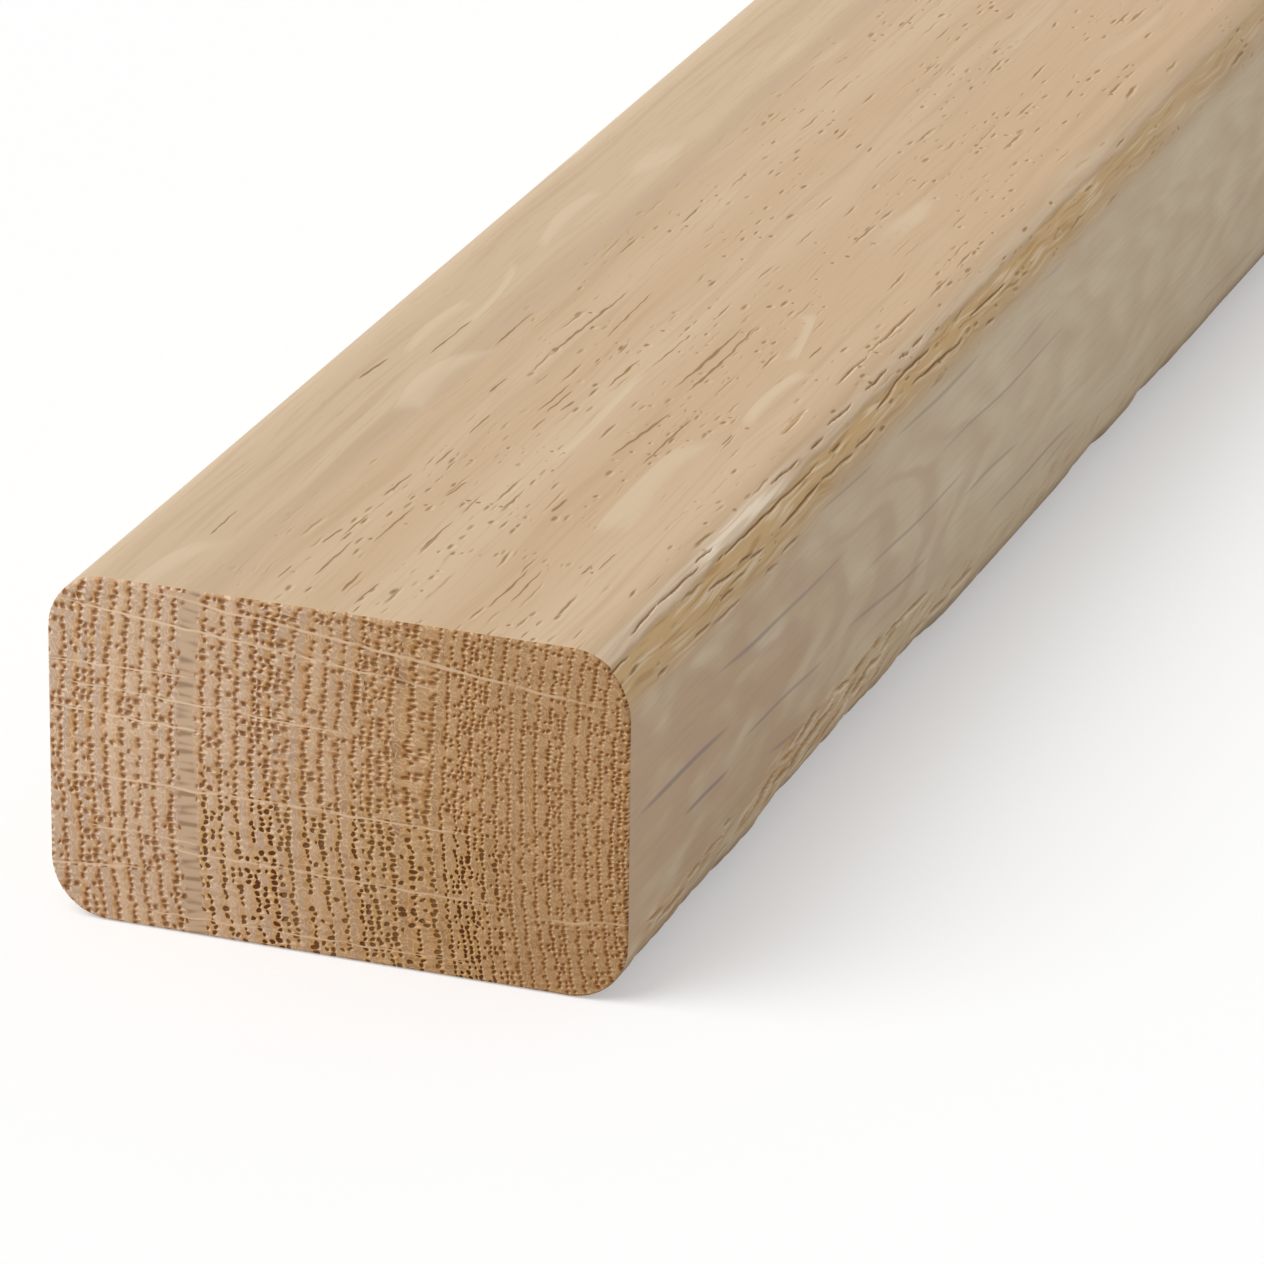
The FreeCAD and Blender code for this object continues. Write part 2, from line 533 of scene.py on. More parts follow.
# long faces: pores cut lengthwise, pale flakes on the flats and grey ray ends on the upright sides
# four numbers are a fade: over which values it runs, then from which amount to which
faceSetup = {
    "wood": srgb(201, 172, 138),
    "paleWood": srgb(208, 182, 149),
    "darkWood": srgb(186, 156, 122),
    "dullBand": srgb(186, 159, 131),
    "warmSide": srgb(194, 164, 132),
    "greySide": srgb(219, 203, 172),
    "rosySide": srgb(188, 158, 132),
    "rawSide": srgb(172, 140, 108),
    "flake": srgb(216, 195, 163),
    "pore": srgb(138, 104, 54),
    "goldPore": srgb(178, 143, 88),
    # painted highlight beside the pores
    "poreHighlightColour": srgb(222, 200, 168),
    "leftWood": srgb(205, 181, 151),
    # painted shade on the lower arris, where it turns under, away from the light
    "paintedUnderShade": srgb(142, 116, 88),
    "rayEnd": srgb(148, 131, 120),
    "ochre": srgb(210, 174, 120),
    "lip": srgb(246, 228, 204),
    "split": srgb(158, 114, 54),
    # how far the grain wavers: its size, then around for streaks and pores, and along and around for flakes
    "waverSize": (26.0, 5.0),
    "waver": 1.6,
    "wildWaver": (6.0, 2.6),
    # streaks along the grain, by their length and width
    "hairSize": (14.0, 0.45),
    "hairs": (0.5, 0.75, 0.0, 0.28),
    "streakSize": (80.0, 1.9),
    "streaks": (0.5, 0.8, 0.0, 0.46),
    "bandSize": (420.0, 9.0),
    "paleBands": (0.3, 0.7),
    "blotchSize": (13.0, 5.0),
    "leftPart": (-8.0, -24.0, 0.0, 0.8),
    "dullLine": -14.6,
    "dullReach": (2.4, 0.4, 0.0, 0.5),
    # the upright sides, from where their flat starts and from where it ends
    "flankStarts": (-3.0, 0.5),
    "flankEnds": (8.0, 3.0),
    "sideAmount": 0.88,
    "blotches": (25.0, 75.0, 2.4, 0.9),
    "greys": (0.0, 115.0, 0.0, 0.8),
    "sideHairs": (0.48, 0.7, 0.0),
    "rawHairs": (90.0, 5.0, 0.1, 0.18),
    "loopHeight": 20.0,
    "loopWaver": 6.0,
    "loopBow": 0.3,
    "loopPace": 0.4,
    "loopStray": 4.0,
    "loopReach": (110.0, 20.0),
    "loopLength": (125.0, 85.0, 0.3, 1.0),
    "loops": (-0.4, 1.0, 0.0, 0.5),
    # painted shade along the lower arris: where it lies, how soft, how strong
    "underShadeReach": (2.0, 9.0),
    "underShadeSoft": 1.5,
    "underShadeAmount": 0.8,
    # scattered flakes and ray ends, past the listed ones: half length, and half width on flats and sides
    "byHand": (120.0, 140.0),
    "markCell": (44.0, 6.5),
    "markHalf": 13.0,
    "markWidths": (0.3, 0.7, 1.5, 0.36),
    "markShare": 0.4,
    "flakeAmount": 0.52,
    "rayEndEdge": 0.0,
    "rayEndAmount": (60.0, 20.0, 0.5, 0.85),
    # fibres of the torn edge
    "fibreSize": (11.0, 0.46),
    "fibreStray": 1.6,
    "ochreAmount": 0.8,
    "paleFibres": (0.56, 0.74, 0.0, 0.45),
    "darkFibres": (0.44, 0.26, 0.0, 0.42),
    "lipFibres": (0.35, 0.62, 0.85, 0.45),
    "splitAmount": 0.85,
    # scattered pores, long and short: cell, half length and half width, and share of cells with one
    "fraySize": (2.2, 0.6),
    "fray": 0.3,
    "longCell": (13.0, 1.6),
    "longHalf": (3.4, 0.21),
    "longShare": 0.42,
    "shortCell": (2.8, 1.05),
    "shortHalf": (1.0, 0.28),
    "shortShare": (0.3, 0.97),
    "leftPores": (-17.0, -9.0, 0.15, 1.0),
    "sidePores": (0.0, 0.8, 1.0, 0.1),
    "crowdSize": (38.0, 8.0),
    "crowdFrom": (0.36, 0.5),
    "poreAmount": 0.85,
    # how strong the painted highlight beside the pores is
    "poreHighlightAmount": 0.45,
    "poreEdge": 0.25,
    "rowEdge": 0.75,
    "roughness": (0.62, 0.5),
    "specular": 0.25,
    # flakes near the end: from along and around, to along and around, half width
    # a half width below 0 turns the bowed edge over
    "flakes": (
        (-7.0, -21.0, 13.0, -20.6, -2.0),
        (55.0, -15.6, 77.0, -15.2, -1.8),
        (71.0, -22.2, 90.0, -22.4, -1.5),
        (84.0, -17.6, 105.0, -20.6, 1.2),
        (47.0, 5.8, 78.0, 5.2, 1.1),
        (29.0, 17.2, 62.0, 17.4, -2.1),
        (85.0, 18.8, 102.0, 15.6, 1.0),
        (67.0, 20.6, 85.0, 20.8, -1.6),
        (110.0, -20.4, 132.0, -21.6, -1.5),
    ),
    # rows of small pores straight across the grain
    "rows": (
        (33.2, -12.0, 32.2, 18.0, 1.5),
        (20.5, 3.0, 20.0, 22.0, 1.8),
        (69.0, 7.5, 67.0, 22.5, 2.2),
        (50.0, -3.0, 50.8, 6.5, 1.2),
    ),
    # the deepest pores of the top
    "pores": (
        (8.0, -6.0, 19.5, -5.8, 0.18),
        (77.0, -6.1, 102.0, -5.9, 0.17),
        (85.0, -2.7, 102.0, -2.5, 0.14),
        (61.0, -1.8, 71.0, -1.6, 0.19),
        (61.0, -0.7, 69.0, -0.5, 0.17),
        (73.0, -18.4, 86.0, -18.2, 0.17),
        (63.0, -23.0, 71.0, -22.8, 0.17),
        (51.0, 10.2, 67.0, 11.6, 0.19),
        (72.5, 9.8, 95.0, 10.2, 0.18),
        (72.0, 11.1, 97.0, 11.3, 0.15),
        (50.0, 14.2, 66.0, 15.0, 0.18),
        (6.5, 13.5, 19.0, 13.4, 0.17),
        (9.0, 15.0, 19.0, 15.0, 0.14),
        (17.0, -8.6, 22.0, -8.4, 0.17),
        (6.5, -8.8, 10.5, -8.6, 0.15),
        (32.0, -8.3, 39.5, -8.0, 0.17),
        (42.0, -6.4, 48.0, -6.2, 0.16),
        (52.0, -6.0, 59.0, -5.8, 0.16),
        (64.5, -8.4, 70.0, -8.2, 0.18),
        (78.0, -13.5, 91.0, -13.2, 0.14),
        (70.5, 2.7, 81.0, 2.9, 0.16),
        (19.0, -3.3, 31.0, -3.1, 0.15),
        (18.5, 1.4, 28.5, 1.7, 0.15),
        (2.5, 1.0, 9.5, 1.1, 0.14),
        (18.7, -7.2, 21.4, -7.1, 0.16),
        (5.2, -1.9, 12.0, -1.8, 0.14),
        (34.0, -1.2, 39.4, -1.0, 0.15),
        (62.3, 0.7, 66.0, 1.0, 0.19),
        (55.5, -0.1, 60.0, 0.0, 0.14),
        (78.5, 5.2, 89.5, 5.4, 0.12),
        (34.0, 10.6, 38.6, 10.8, 0.17),
        (59.0, 20.5, 62.8, 20.7, 0.18),
        (87.5, 20.2, 92.0, 20.4, 0.17),
        (19.0, 19.3, 22.0, 19.4, 0.17),
        (20.5, 20.7, 26.0, 20.8, 0.16),
        (14.8, -20.4, 22.8, -20.2, 0.11),
    ),
    # grey ray ends on the right side, by their height above the underside
    "rayEnds": (
        (2.0, 19.9, 31.0, 19.1, 0.36),
        (25.0, 26.5, 70.0, 24.6, 0.30),
        (57.0, 32.6, 77.0, 31.6, 0.32),
        (82.0, 31.9, 115.0, 31.3, 0.35),
        (98.0, 24.4, 146.0, 23.7, 0.30),
        (74.0, 20.3, 110.0, 19.3, 0.29),
        (34.0, 15.6, 61.0, 14.7, 0.30),
        (67.0, 15.2, 97.0, 13.6, 0.32),
        (108.0, 15.6, 129.0, 15.2, 0.29),
        (117.0, 10.9, 153.0, 9.6, 0.32),
        (42.0, 10.5, 65.0, 9.1, 0.30),
        (16.0, 14.3, 31.0, 14.1, 0.29),
    ),
}


def makeLongGrain(setup):
    material, tree, shader = newMaterial("oakLongGrain")
    grain = inMillimetres(tree, addNode(tree, "ShaderNodeUVMap", {}, uv_map="grain").outputs[0])
    along, around = apart(tree, grain)[:2]
    torn = attribute(tree, "torn")
    lip = attribute(tree, "lip")
    crack = attribute(tree, "split")
    fromTop = calc(tree, "ABSOLUTE", around)
    flankStarts = [section["sideStart"] + by for by in setup["flankStarts"]]
    flankEnds = [section["lowerStart"] + by for by in setup["flankEnds"]]
    flank = times(tree, fade(tree, fromTop, *flankStarts), fade(tree, fromTop, *flankEnds))
    beyond = fade(tree, along, *setup["byHand"])
    waver = wander(tree, grain, setup["waverSize"], 1.0, 0.0)
    wavedAround = calc(tree, "MULTIPLY_ADD", waver, setup["waver"], around)
    waved = together(tree, along, wavedAround)
    wild = together(tree, calc(tree, "MULTIPLY_ADD", waver, setup["wildWaver"][0], along),
                    calc(tree, "MULTIPLY_ADD", waver, setup["wildWaver"][1], around))

    # streaks along the grain, from hair-fine to broad
    hair = cloud(tree, waved, setup["hairSize"])
    streak = cloud(tree, waved, setup["streakSize"])
    band = cloud(tree, waved, setup["bandSize"], 0.0)
    blotch = wander(tree, wild, setup["blotchSize"], 1.0)
    colour = tint(tree, fade(tree, band, *setup["paleBands"]), setup["wood"], setup["paleWood"])
    colour = tint(tree, fade(tree, around, *setup["leftPart"]), colour, setup["leftWood"])
    colour = tint(tree, fade(tree, streak, *setup["streaks"]), colour, setup["darkWood"])
    colour = tint(tree, fade(tree, hair, *setup["hairs"]), colour, setup["darkWood"])
    fromDull = calc(tree, "ABSOLUTE", calc(tree, "SUBTRACT", wavedAround, setup["dullLine"]))
    colour = tint(tree, fade(tree, fromDull, *setup["dullReach"]), colour, setup["dullBand"])

    # upright sides are greyer and smoother, with the rings in wide soft loops
    fromLoops = calc(tree, "SUBTRACT", fromTop, sideAround(setup["loopHeight"]))
    level = calc(tree, "MULTIPLY_ADD", waver, setup["loopWaver"], fromLoops)
    bowed = times(tree, level, level)
    phase = calc(tree, "MULTIPLY_ADD", bowed, setup["loopBow"], along)
    wave = calc(tree, "MULTIPLY_ADD", phase, setup["loopPace"], times(tree, blotch, setup["loopStray"]))
    loop = times(tree, calc(tree, "SINE", wave), fade(tree, bowed, *setup["loopReach"]),
                 fade(tree, along, *setup["loopLength"]))
    greying = calc(tree, "MULTIPLY_ADD", blotch, fade(tree, along, *setup["blotches"]),
                   fade(tree, along, *setup["greys"]))
    side = tint(tree, greying, setup["warmSide"], setup["greySide"])
    side = tint(tree, fade(tree, loop, *setup["loops"]), side, setup["rosySide"])
    rawHair = fade(tree, along, *setup["rawHairs"])
    side = tint(tree, fade(tree, hair, *setup["sideHairs"], rawHair), side, setup["rawSide"])
    colour = tint(tree, times(tree, flank, setup["sideAmount"]), colour, side)
    # painted shade: the lower arris darkened where it turns under, away from the light
    underShadeReach = [section["lowerStart"] + by for by in setup["underShadeReach"]]
    paintedUnderShade = times(tree, within(tree, around, underShadeReach, setup["underShadeSoft"]), setup["underShadeAmount"])
    colour = tint(tree, paintedUnderShade, colour, setup["paintedUnderShade"])

    # listed marks, then scattered ones: pale flakes on the flats, grey ray ends on the sides
    markWidth = fade(tree, flank, *setup["markWidths"])
    scattered = dashes(tree, wild, setup["markCell"], (setup["markHalf"], markWidth), setup["markShare"])[0]
    scattered = times(tree, scattered, beyond)
    flake = calc(tree, "MAXIMUM", flakes(tree, wild, setup["flakes"]), scattered)
    onFlat = times(tree, flake, less(tree, flank), setup["flakeAmount"])
    colour = tint(tree, onFlat, colour, setup["flake"])
    sideMarks = [(start, sideAround(first), end, sideAround(last), half)
                 for start, first, end, last, half in setup["rayEnds"]]
    rayEnd = calc(tree, "MAXIMUM", strokes(tree, waved, sideMarks, setup["rayEndEdge"]), scattered)
    rayEnd = times(tree, rayEnd, flank, fade(tree, along, *setup["rayEndAmount"]))
    colour = tint(tree, rayEnd, colour, setup["rayEnd"])

    # torn edge: ochre under-wood with pale and dark fibres
    combed = together(tree, along, calc(tree, "MULTIPLY_ADD", blotch, setup["fibreStray"], around))
    fibre = cloud(tree, combed, setup["fibreSize"])
    colour = tint(tree, times(tree, torn, setup["ochreAmount"]), colour, setup["ochre"])
    colour = tint(tree, times(tree, torn, fade(tree, fibre, *setup["paleFibres"])), colour, setup["lip"])
    colour = tint(tree, times(tree, torn, fade(tree, fibre, *setup["darkFibres"])), colour, setup["split"])
    colour = tint(tree, times(tree, lip, fade(tree, hair, *setup["lipFibres"])), colour, setup["lip"])

    # pores: many in the open-grained middle, few on the left and the sides, close-set in rows across
    fray = wander(tree, grain, setup["fraySize"], setup["fray"], 0.0)
    frayed = together(tree, along, calc(tree, "ADD", wavedAround, fray))
    here = times(tree, fade(tree, around, *setup["leftPores"]), fade(tree, flank, *setup["sidePores"]),
                 less(tree, flake))
    crowded = fade(tree, cloud(tree, grain, setup["crowdSize"], 0.0), *setup["crowdFrom"])
    row = strokes(tree, wild, setup["rows"], setup["rowEdge"])
    shortHere = calc(tree, "MAXIMUM", times(tree, here, crowded), row)
    longPore, longHighlight = dashes(tree, frayed, setup["longCell"], setup["longHalf"], setup["longShare"])
    shortShare = between(tree, row, setup["shortShare"])
    shortPore, shortHighlight = dashes(tree, frayed, setup["shortCell"], setup["shortHalf"], shortShare)
    pore = calc(tree, "MAXIMUM", times(tree, longPore, here), times(tree, shortPore, shortHere))
    pore = calc(tree, "MAXIMUM", pore, strokes(tree, frayed, setup["pores"], setup["poreEdge"]))
    # painted highlight on the right of the scattered pores
    poreHighlight = calc(tree, "MAXIMUM", times(tree, longHighlight, here), times(tree, shortHighlight, shortHere))
    colour = tint(tree, times(tree, poreHighlight, setup["poreHighlightAmount"]), colour, setup["poreHighlightColour"])
    poreColour = tint(tree, pore, setup["goldPore"], setup["pore"])
    colour = tint(tree, times(tree, pore, setup["poreAmount"]), colour, poreColour)
    colour = tint(tree, times(tree, crack, setup["splitAmount"]), colour, setup["split"])
    plug(tree, shader.inputs["Base Color"], colour)
    plug(tree, shader.inputs["Roughness"], between(tree, flake, setup["roughness"]))
    shader.inputs["Specular IOR Level"].default_value = setup["specular"]
    return material


# the rail: columns run along it, closest on the two torn right-hand edges, and rings are closest at the end
railSetup = {
    "tornColumns": 80,
    "raggedColumns": 40,
    "plainColumns": 10,
    "topColumns": 12,
    "underColumns": 8,
    "stripColumns": 12,
    "rightColumns": 14,
    "leftColumns": 8,
    "strip": 3.0,
    "lowerStrip": 4.5,
    "lowerStripColumns": 22,
    "near": 215.0,
    "nearRing": 0.85,
    "farRing": 16.0,
    "easedEnd": 0.3,
    "easedSteps": 2,
    # limits for picking edges and end faces
    "straight": 0.999,
    "slack": 0.1,
    "endFacing": 0.9,
}


def edgesAlong(bm, axis, low, high):   # edges along an axis, with their middles between two corners in mm
    found = []
    for edge in bm.edges:
        way = (edge.verts[1].co - edge.verts[0].co).normalized()
        middle = (edge.verts[0].co + edge.verts[1].co) / 2 / millimetre
        if abs(way[axis]) > railSetup["straight"] and all(low[i] <= middle[i] <= high[i] for i in range(3)):
            found.append(edge)
    return found


def cutUp(bm, axis, low, high, parts):
    edges = edgesAlong(bm, axis, low, high)
    bmesh.ops.subdivide_edges(bm, edges=edges, cuts=parts - 1, use_grid_fill=True)


def sliceAt(bm, axis, place):
    point = Vector((0.0, 0.0, 0.0))
    point[axis] = place * millimetre
    normal = Vector((0.0, 0.0, 0.0))
    normal[axis] = 1.0
    geom = bm.verts[:] + bm.edges[:] + bm.faces[:]
    bmesh.ops.bisect_plane(bm, geom=geom, plane_co=point, plane_no=normal)


def roundOver(bm, side, level, columns):   # one long edge of the square blank
    corner = Vector((side, 0.0, level)) / millimetre
    slack = railSetup["slack"]
    low = (corner.x - slack, -railLength, corner.z - slack)
    high = (corner.x + slack, railLength, corner.z + slack)
    bmesh.ops.bevel(bm, geom=edgesAlong(bm, 1, low, high), offset=section["edgeRadius"] * millimetre,
                    segments=columns, profile=0.5, affect="EDGES", material=-1)


def makeRail(setup):
    bm = bmesh.new()
    bmesh.ops.create_cube(bm, size=1.0)
    bmesh.ops.scale(bm, vec=railHigh - railLow, verts=bm.verts)
    bmesh.ops.translate(bm, vec=(railHigh + railLow) / 2, verts=bm.verts)
    roundOver(bm, railHigh.x, railHigh.z, setup["tornColumns"])
    roundOver(bm, railHigh.x, railLow.z, setup["raggedColumns"])
    roundOver(bm, railLow.x, railHigh.z, setup["plainColumns"])
    roundOver(bm, railLow.x, railLow.z, setup["plainColumns"])
    ends = [face for face in bm.faces if abs(face.normal.y) > setup["endFacing"]]
    bmesh.ops.delete(bm, geom=ends, context="FACES_ONLY")

    # columns on the flats, with finer strips beside the torn edges
    flat, upper, lower = section["halfFlat"], section["upper"], section["edgeRadius"]
    middle = railHeight / 2
    strip, lowerStrip, wide, far = setup["strip"], setup["lowerStrip"], railWidth, railLength
    sliceAt(bm, 0, 0.0)
    sliceAt(bm, 0, flat - strip)
    sliceAt(bm, 2, upper - strip)
    sliceAt(bm, 2, lower + lowerStrip)
    cutUp(bm, 0, (flat - strip, -far, middle), (flat, far, wide), setup["stripColumns"])
    cutUp(bm, 0, (0.0, -far, middle), (flat - strip, far, wide), setup["topColumns"])
    cutUp(bm, 0, (-flat, -far, middle), (0.0, far, wide), setup["topColumns"])
    cutUp(bm, 0, (0.0, -far, -wide), (flat - strip, far, middle), setup["underColumns"])
    cutUp(bm, 0, (-flat, -far, -wide), (0.0, far, middle), setup["underColumns"])
    cutUp(bm, 2, (0.0, -far, upper - strip), (wide, far, upper), setup["stripColumns"])
    cutUp(bm, 2, (0.0, -far, lower), (wide, far, lower + lowerStrip), setup["lowerStripColumns"])
    cutUp(bm, 2, (0.0, -far, lower + lowerStrip), (wide, far, upper - strip), setup["rightColumns"])
    cutUp(bm, 2, (-wide, -far, lower + lowerStrip), (0.0, far, upper - strip), setup["leftColumns"])

    # rings along the length
    front = railLow.y / millimetre
    turning = front + setup["near"]
    sliceAt(bm, 1, turning)
    cutUp(bm, 1, (-wide, front, -wide), (wide, turning, wide), round(setup["near"] / setup["nearRing"]))
    cutUp(bm, 1, (-wide, turning, -wide), (wide, far, wide),
          round((railLength - setup["near"]) / setup["farRing"]))

    # sawn ends with a slightly eased rim
    openEdges = [edge for edge in bm.edges if edge.is_boundary]
    bmesh.ops.holes_fill(bm, edges=openEdges, sides=0)
    bmesh.ops.recalc_face_normals(bm, faces=bm.faces)
    rims = [edge for edge in bm.edges
            if sorted(abs(face.normal.y) > setup["endFacing"] for face in edge.link_faces) == [False, True]]
    bmesh.ops.bevel(bm, geom=rims, offset=setup["easedEnd"] * millimetre, segments=setup["easedSteps"],
                    profile=0.5, affect="EDGES", material=-1)
    bm.normal_update()
    return bm


# the grain map follows the surface in metres, and the flat map lays the whole rail out for baking
mapSetup = {"nearShare": 0.28, "longShare": 0.78, "margin": 0.004, "endGap": 0.012, "endTilt": 0.3}


def flatAlong(along, setup):   # the near length takes more of the sheet
    near = railSetup["near"]
    if along < near:
        return setup["nearShare"] * along / near
    return setup["nearShare"] + (1.0 - setup["nearShare"]) * (along - near) / (railLength - near)


def layMaps(bm, setup):
    grainMap = bm.loops.layers.uv.new("grain")
    flatMap = bm.loops.layers.uv.new("OFBake")
    margin, gap = setup["margin"], setup["endGap"]
    endScale = (1.0 - setup["longShare"] - 2.0 * gap) / railHeight
    for face in bm.faces:
        end = abs(face.normal.y) > setup["endTilt"]
        side = 1.0 if face.calc_center_median().x > 0.0 else -1.0
        back = face.normal.y > 0.0
        face.material_index = 1 if end else 0
        face.smooth = len(face.verts) == 4
        for loop in face.loops:
            x, y, z = (loop.vert.co - Vector((0.0, railLow.y, railLow.z))) / millimetre
            around = side * unroll(max(side * x, 0.0), z)[0]
            loop[grainMap].uv = (y * millimetre, around * millimetre)
            if end:
                across = railWidth / 2 + (-x if back else x)
                start = 2.0 * gap + railWidth * endScale if back else gap
                loop[flatMap].uv = (start + across * endScale, setup["longShare"] + gap + z * endScale)
            else:
                share = (around + section["half"]) / (2.0 * section["half"])
                loop[flatMap].uv = (margin + (1.0 - 2.0 * margin) * flatAlong(y, setup),
                                    margin + (setup["longShare"] - 2.0 * margin) * share)


# torn wood on the right-hand edges
# a split: where it starts and ends along the rail, how far round the edge at each, and its half width
tearSetup = {
    "diesAway": (110.0, 280.0),
    # upper edge: a pale lip, then a ledge down to ochre wood, then its foot
    "ledge": 4.5,
    "ledgeSoft": 0.4,
    "ledgeDrift": ((0.5, 11.0, 1.37), (0.2, 3.0, 6.13)),
    "foot": 9.3,
    "footSoft": 1.8,
    "footRise": 1.6,
    "footRises": (45.0, 75.0),
    "footDrift": ((0.7, 15.0, 5.71), (0.4, 4.0, 2.19)),
    "ochreFar": 0.25,
    "ochreDepth": 0.2,
    "lipStart": (1.9, 3.0),
    "lipStrength": ((0.0, 0.4), (26.0, 0.5), (33.0, 1.0), (46.0, 1.0), (62.0, 0.25)),
    "fibreSize": (7.0, 0.6),
    "fibreDepth": 0.05,
    # splits: depth, how much wider than listed, and how pale the fibres beside them are
    "upperDepth": 0.26,
    "upperWidth": 0.72,
    "upperPale": 0.7,
    "lowerWidth": 0.7,
    "lowerPale": 0.85,
    "splitSway": 0.2,
    "swayPace": 2.6,
    "splitFloor": 0.3,
    "besideShift": 1.8,
    "besideFloor": 0.2,
    # lower edge: leaning chips that climb the side for a stretch, and bites out of the arris
    "chipTop": -1.3,
    "chipClimb": 2.5,
    "chipClimbs": ((0.0, 0.0), (34.0, 0.0), (52.0, 1.0), (84.0, 1.0), (106.0, 0.0)),
    "chipStrength": (
        (2.0, 0.0), (8.0, 0.6), (30.0, 0.4), (42.0, 0.95), (72.0, 0.95), (88.0, 0.6), (115.0, 0.4),
    ),
    "chipSoft": 0.5,
    "chipTorn": 0.5,
    "chipEnd": (2.0, 4.5),
    "chipSize": (5.4, 0.58),
    "chipLean": 0.2,
    "chipDepth": 0.22,
    "chipFrom": (0.2, 0.48),
    "bites": (
        (2.0, 0.0), (30.0, 0.3), (40.0, 0.2), (50.0, 1.0), (98.0, 1.0), (108.0, 0.0), (152.0, 0.0),
        (157.0, 0.8), (164.0, 0.8), (170.0, 0.0), (177.0, 0.0), (182.0, 0.8), (190.0, 0.7), (197.0, 0.0),
    ),
    "biteDrift": ((0.35, 9.0, 3.21), (0.35, 2.7, 8.43)),
    "biteStart": (-1.0, 4.0),
    "biteEnd": (7.0, 9.9),
    "biteDepth": 0.6,
    "upperSplits": (
        (7.5, 16.0, 3.7, 3.3, 0.20), (16.0, 28.0, 3.3, 3.8, 0.22), (28.0, 33.0, 3.1, 3.4, 0.20),
        (32.0, 64.0, 4.7, 5.1, 0.22), (-2.0, 5.0, 4.9, 4.9, 0.20), (27.0, 34.0, 6.2, 6.7, 0.22),
        (35.0, 40.0, 6.6, 6.8, 0.18), (38.0, 42.0, 7.1, 7.3, 0.20), (28.0, 31.5, 7.9, 8.1, 0.20),
        (8.5, 11.5, 8.9, 9.0, 0.25), (19.5, 24.5, 8.9, 9.0, 0.22), (25.0, 33.5, 9.5, 9.9, 0.25),
        (41.0, 44.5, 9.8, 10.0, 0.30), (46.0, 51.5, 9.3, 9.6, 0.22), (48.0, 61.0, 7.1, 6.7, 0.30),
        (61.0, 68.0, 6.7, 6.9, 0.20), (52.0, 61.0, 2.9, 3.3, 0.22), (64.0, 67.5, 3.3, 3.5, 0.25),
        (71.0, 77.5, 2.95, 3.1, 0.22), (83.0, 90.0, 3.2, 3.25, 0.22), (94.0, 96.5, 3.4, 3.6, 0.25),
        (98.0, 101.5, 3.4, 3.6, 0.25), (67.0, 70.5, 5.1, 5.4, 0.30), (67.5, 71.0, 6.9, 7.1, 0.30),
        (73.0, 79.0, 6.9, 7.0, 0.22), (82.0, 90.0, 5.6, 4.8, 0.28), (90.0, 101.5, 4.75, 5.0, 0.25),
        (92.0, 109.0, 6.4, 7.1, 0.28), (114.0, 126.5, 5.7, 6.0, 0.22), (117.0, 119.5, 7.9, 8.1, 0.25),
        (65.0, 73.0, -0.3, -0.5, 0.28), (80.0, 92.0, 0.0, 0.5, 0.20), (92.0, 108.0, 0.2, 0.6, 0.25),
    ),
    "lowerSplits": (
        (6.5, 11.0, -0.4, 0.0, 0.35), (9.0, 18.0, 0.8, 0.4, 0.40), (18.0, 22.0, -0.2, -0.5, 0.35),
        (22.0, 29.0, -0.8, -0.8, 0.25), (27.0, 30.5, 1.0, 1.0, 0.35), (29.0, 31.5, -1.8, -1.7, 0.30),
        (40.0, 45.5, -0.6, -1.5, 0.40), (45.0, 50.5, -0.4, 0.0, 0.40), (51.5, 58.0, -2.1, -2.8, 0.45),
        (47.0, 51.0, -1.7, -1.8, 0.35), (50.0, 60.5, -0.4, -1.7, 0.45), (54.5, 64.5, -0.6, -1.9, 0.40),
        (65.0, 69.5, -3.1, -2.5, 0.45), (62.0, 68.0, 0.5, -0.4, 0.40), (70.0, 75.5, -0.8, -0.8, 0.40),
        (74.5, 80.5, -1.7, -1.4, 0.35), (81.0, 88.0, -3.0, -3.0, 0.30), (87.5, 97.0, -3.1, -2.8, 0.35),
        (90.0, 96.5, 0.4, 0.4, 0.35), (97.0, 103.5, 0.2, 0.8, 0.50), (104.0, 113.0, 0.2, 0.5, 0.40),
    ),
}


def step(value, start, end):   # smooth step in plain numbers
    share = min(max((value - start) / (end - start), 0.0), 1.0)
    return share * share * (3.0 - 2.0 * share)


driftPlane = 0.5   # between whole numbers, where noise is always 0


def drift(along, pace, lane):   # slow wander along the rail, about -1 to 1
    return noise.noise(Vector((along / pace, lane, driftPlane)))


def wobble(along, drifts):   # several drifts together: by how much, over what length, in which lane
    return sum(by * drift(along, pace, lane) for by, pace, lane in drifts)


def graded(along, stops):   # a value told at some stops along the rail, eased between them
    value = stops[0][1]
    for (start, first), (end, last) in zip(stops, stops[1:]):
        if along > start:
            value = first + (last - first) * step(along, start, end)
    return value


def splitAt(splits, along, around, widen, setup):   # how far into a split, or into fibres beside it
    deepest = 0.0
    beside = 0.0
    for start, end, first, last, half in splits:
        if start < along < end:
            share = (along - start) / (end - start)
            sway = setup["splitSway"] * drift(along, setup["swayPace"], first)
            middle = first + (last - first) * share + sway
            width = half * widen * math.sqrt(math.sin(math.pi * share))
            fibres = middle + setup["besideShift"] * width
            deepest = max(deepest, 1.0 - step(abs(around - middle), width * setup["splitFloor"], width))
            beside = max(beside, 1.0 - step(abs(around - fibres), width * setup["besideFloor"], width))
    return deepest, beside


